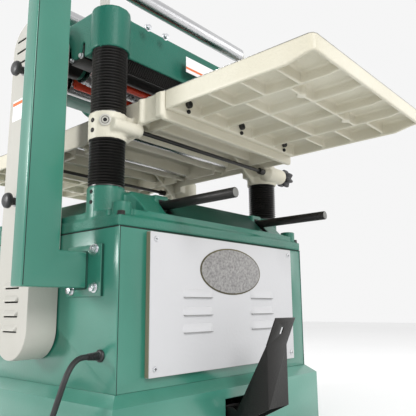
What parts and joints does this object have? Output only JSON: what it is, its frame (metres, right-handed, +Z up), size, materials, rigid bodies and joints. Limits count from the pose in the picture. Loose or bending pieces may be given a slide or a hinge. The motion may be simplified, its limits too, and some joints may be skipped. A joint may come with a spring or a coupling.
{
  "type": "thickness planer",
  "caption": "Stationary thickness planer on a cabinet stand: a table with extensions rises on posts to a fixed head with a belt-driven cutterhead, feed rollers and return rollers.",
  "frame": {"origin": "on the floor under the middle of the machine, with the cord left out", "axes": "+X along the cutterhead towards the handwheel side, +Y in the feed direction (the operator feeds from -Y), +Z up"},
  "size_m": [1.124, 1.36, 1.219],
  "materials": {
    "green_paint": "semi-gloss enamel on castings and sheet",
    "cream_paint": "semi-gloss enamel",
    "white_paint": "satin powder coat",
    "ground_steel": "ground",
    "black_steel": "blackened steel",
    "black_plastic": "moulded, slightly glossy",
    "red_paint": "enamel",
    "red_plastic": "moulded",
    "green_plastic": "moulded",
    "bellows_rubber": "ribbed moulding",
    "cord_rubber": "matt"
  },
  "bodies": {
    "stand": {"base_plinth": "green_paint", "stand_cabinet": "green_paint", "front_panel": "white_paint", "base_casting": "green_paint", "column_front_left": "ground_steel", "column_front_right": "ground_steel", "column_rear_left": "ground_steel", "column_rear_right": "ground_steel", "lower_bellows_front_left": "bellows_rubber", "lower_bellows_front_right": "bellows_rubber", "lower_bellows_rear_left": "bellows_rubber", "lower_bellows_rear_right": "bellows_rubber", "upper_bellows_front_left": "bellows_rubber", "upper_bellows_front_right": "bellows_rubber", "upper_bellows_rear_left": "bellows_rubber", "upper_bellows_rear_right": "bellows_rubber", "head_casting": "green_paint", "dust_hood": "green_paint", "gear_case": "green_paint", "left_roller_bracket": "cream_paint", "right_roller_bracket": "cream_paint", "belt_cover": "cream_paint", "motor": "black_steel", "drive_belt": "cord_rubber", "switch_post": "green_paint", "switch_box": "black_plastic", "strain_relief": "black_plastic", "power_cord": "cord_rubber", "cord_coil": "cord_rubber", "plug": "black_plastic"},
    "table": {"main_table": "cream_paint", "front_extension": "cream_paint", "rear_extension": "cream_paint"},
    "front_bed_roller": {"front_bed_roller": "ground_steel"},
    "rear_bed_roller": {"rear_bed_roller": "ground_steel"},
    "front_table_lock": {"front_table_lock": "black_plastic"},
    "rear_table_lock": {"rear_table_lock": "black_plastic"},
    "cutterhead": {"cutterhead": "ground_steel"},
    "motor_pulley": {"motor_pulley": "black_steel"},
    "infeed_roller": {"infeed_roller": "ground_steel"},
    "outfeed_roller": {"outfeed_roller": "ground_steel"},
    "anti_kickback_fingers": {"anti_kickback_fingers": "black_steel"},
    "chip_breaker": {"chip_breaker": "red_paint"},
    "front_return_roller": {"front_return_roller": "ground_steel"},
    "rear_return_roller": {"rear_return_roller": "ground_steel"},
    "handwheel": {"handwheel": "ground_steel"},
    "handwheel_grip": {"handwheel_grip": "black_plastic"},
    "feed_speed_knob": {"feed_speed_knob": "black_plastic"},
    "upper_cover_knob": {"upper_cover_knob": "black_plastic"},
    "lower_cover_knob": {"lower_cover_knob": "black_plastic"},
    "start_button": {"start_button": "green_plastic"},
    "stop_button": {"stop_button": "red_plastic"},
    "foot_pedal": {"foot_pedal": "black_steel"},
    "caster_fork": {"caster_fork": "ground_steel"},
    "caster_wheel": {"caster_wheel": "black_plastic"},
    "rear_wheel_axle": {"rear_wheel_axle": "black_plastic"},
    "lifting_bar_front_left": {"lifting_bar_front_left": "black_steel"},
    "lifting_bar_front_right": {"lifting_bar_front_right": "black_steel"},
    "lifting_bar_rear_left": {"lifting_bar_rear_left": "black_steel"},
    "lifting_bar_rear_right": {"lifting_bar_rear_right": "black_steel"}
  },
  "joints": [
    {"name": "table_lift", "type": "slide", "parent": "stand", "child": "table", "axis": [0, 0, 1], "range_m": [-0.088, 0.104], "deforming": ["lower_bellows_front_left", "lower_bellows_front_right", "lower_bellows_rear_left", "lower_bellows_rear_right", "upper_bellows_front_left", "upper_bellows_front_right", "upper_bellows_rear_left", "upper_bellows_rear_right"]},
    {"name": "handwheel_turn", "type": "hinge", "parent": "stand", "child": "handwheel", "pos_m": [0.445, -0.15, 0.96], "axis": [1, 0, 0], "range_deg": [-7950, 9400]},
    {"name": "handwheel_grip_spin", "type": "hinge", "parent": "handwheel", "child": "handwheel_grip", "pos_m": [0.485, -0.15, 1.044], "axis": [1, 0, 0], "continuous": true},
    {"name": "front_bed_roller_spin", "type": "hinge", "parent": "table", "child": "front_bed_roller", "pos_m": [0, -0.084, 0.7625], "axis": [1, 0, 0], "continuous": true},
    {"name": "front_lock_turn", "type": "hinge", "parent": "table", "child": "front_table_lock", "pos_m": [0.36, -0.214, 0.71], "axis": [1, 0, 0], "range_deg": [0, 180]},
    {"name": "rear_bed_roller_spin", "type": "hinge", "parent": "table", "child": "rear_bed_roller", "pos_m": [0, 0.084, 0.7625], "axis": [1, 0, 0], "continuous": true},
    {"name": "rear_lock_turn", "type": "hinge", "parent": "table", "child": "rear_table_lock", "pos_m": [0.36, 0.214, 0.71], "axis": [1, 0, 0], "range_deg": [0, 180]},
    {"name": "cutterhead_spin", "type": "hinge", "parent": "stand", "child": "cutterhead", "pos_m": [0, 0, 0.932], "axis": [1, 0, 0], "continuous": true},
    {"name": "motor_spin", "type": "hinge", "parent": "stand", "child": "motor_pulley", "pos_m": [-0.36, 0, 0.27], "axis": [1, 0, 0], "continuous": true},
    {"name": "infeed_spin", "type": "hinge", "parent": "stand", "child": "infeed_roller", "pos_m": [0, -0.084, 0.9243], "axis": [1, 0, 0], "continuous": true},
    {"name": "outfeed_spin", "type": "hinge", "parent": "stand", "child": "outfeed_roller", "pos_m": [0, 0.084, 0.9243], "axis": [1, 0, 0], "continuous": true},
    {"name": "kickback_swing", "type": "hinge", "parent": "stand", "child": "anti_kickback_fingers", "pos_m": [0, -0.158, 0.946], "axis": [1, 0, 0], "range_deg": [0, 18]},
    {"name": "chip_breaker_lift", "type": "hinge", "parent": "stand", "child": "chip_breaker", "pos_m": [0, -0.047, 0.984], "axis": [1, 0, 0], "range_deg": [-2.5, 0], "stiffness_Nm_per_rad": 8, "springref_deg": 2.86},
    {"name": "front_return_roller_spin", "type": "hinge", "parent": "stand", "child": "front_return_roller", "pos_m": [0, -0.112, 1.134], "axis": [1, 0, 0], "continuous": true},
    {"name": "rear_return_roller_spin", "type": "hinge", "parent": "stand", "child": "rear_return_roller", "pos_m": [0, 0.112, 1.134], "axis": [1, 0, 0], "continuous": true},
    {"name": "feed_speed_shift", "type": "slide", "parent": "stand", "child": "feed_speed_knob", "axis": [1, 0, 0], "range_m": [-0.01, 0.012]},
    {"name": "upper_cover_knob_turn", "type": "hinge", "parent": "stand", "child": "upper_cover_knob", "pos_m": [-0.43, 0, 0.867], "axis": [1, 0, 0], "continuous": true},
    {"name": "lower_cover_knob_turn", "type": "hinge", "parent": "stand", "child": "lower_cover_knob", "pos_m": [-0.43, 0, 0.549], "axis": [1, 0, 0], "continuous": true},
    {"name": "start_press", "type": "slide", "parent": "stand", "child": "start_button", "axis": [0, 1, 0], "range_m": [0, 0.004], "stiffness_N_per_m": 600, "springref_m": -0.004},
    {"name": "stop_press", "type": "slide", "parent": "stand", "child": "stop_button", "axis": [0, 1, 0], "range_m": [0, 0.006], "stiffness_N_per_m": 500, "springref_m": -0.004},
    {"name": "pedal_press", "type": "hinge", "parent": "stand", "child": "foot_pedal", "pos_m": [0, -0.165, 0.07], "axis": [1, 0, 0], "range_deg": [0, 5]},
    {"name": "caster_swivel", "type": "hinge", "parent": "foot_pedal", "child": "caster_fork", "pos_m": [0, -0.245, 0.07], "axis": [0, 0, 1], "continuous": true},
    {"name": "caster_roll", "type": "hinge", "parent": "caster_fork", "child": "caster_wheel", "pos_m": [0, -0.229, 0.0253], "axis": [1, 0, 0], "continuous": true},
    {"name": "rear_wheels_roll", "type": "hinge", "parent": "stand", "child": "rear_wheel_axle", "pos_m": [0, 0.245, 0.0395], "axis": [1, 0, 0], "continuous": true},
    {"name": "lifting_bar_front_left_slide", "type": "slide", "parent": "stand", "child": "lifting_bar_front_left", "axis": [0, -1, 0], "range_m": [-0.155, 0.04]},
    {"name": "lifting_bar_front_right_slide", "type": "slide", "parent": "stand", "child": "lifting_bar_front_right", "axis": [0, -1, 0], "range_m": [-0.155, 0.04]},
    {"name": "lifting_bar_rear_left_slide", "type": "slide", "parent": "stand", "child": "lifting_bar_rear_left", "axis": [0, 1, 0], "range_m": [-0.155, 0.04]},
    {"name": "lifting_bar_rear_right_slide", "type": "slide", "parent": "stand", "child": "lifting_bar_rear_right", "axis": [0, 1, 0], "range_m": [-0.155, 0.04]}
  ],
  "couplings": [
    {"joint": "handwheel_turn", "follows": "table_lift", "rad_per_m": 1570.8},
    {"joint": "motor_spin", "follows": "cutterhead_spin", "ratio": 0.66667},
    {"joint": "outfeed_spin", "follows": "infeed_spin", "ratio": 1}
  ]
}
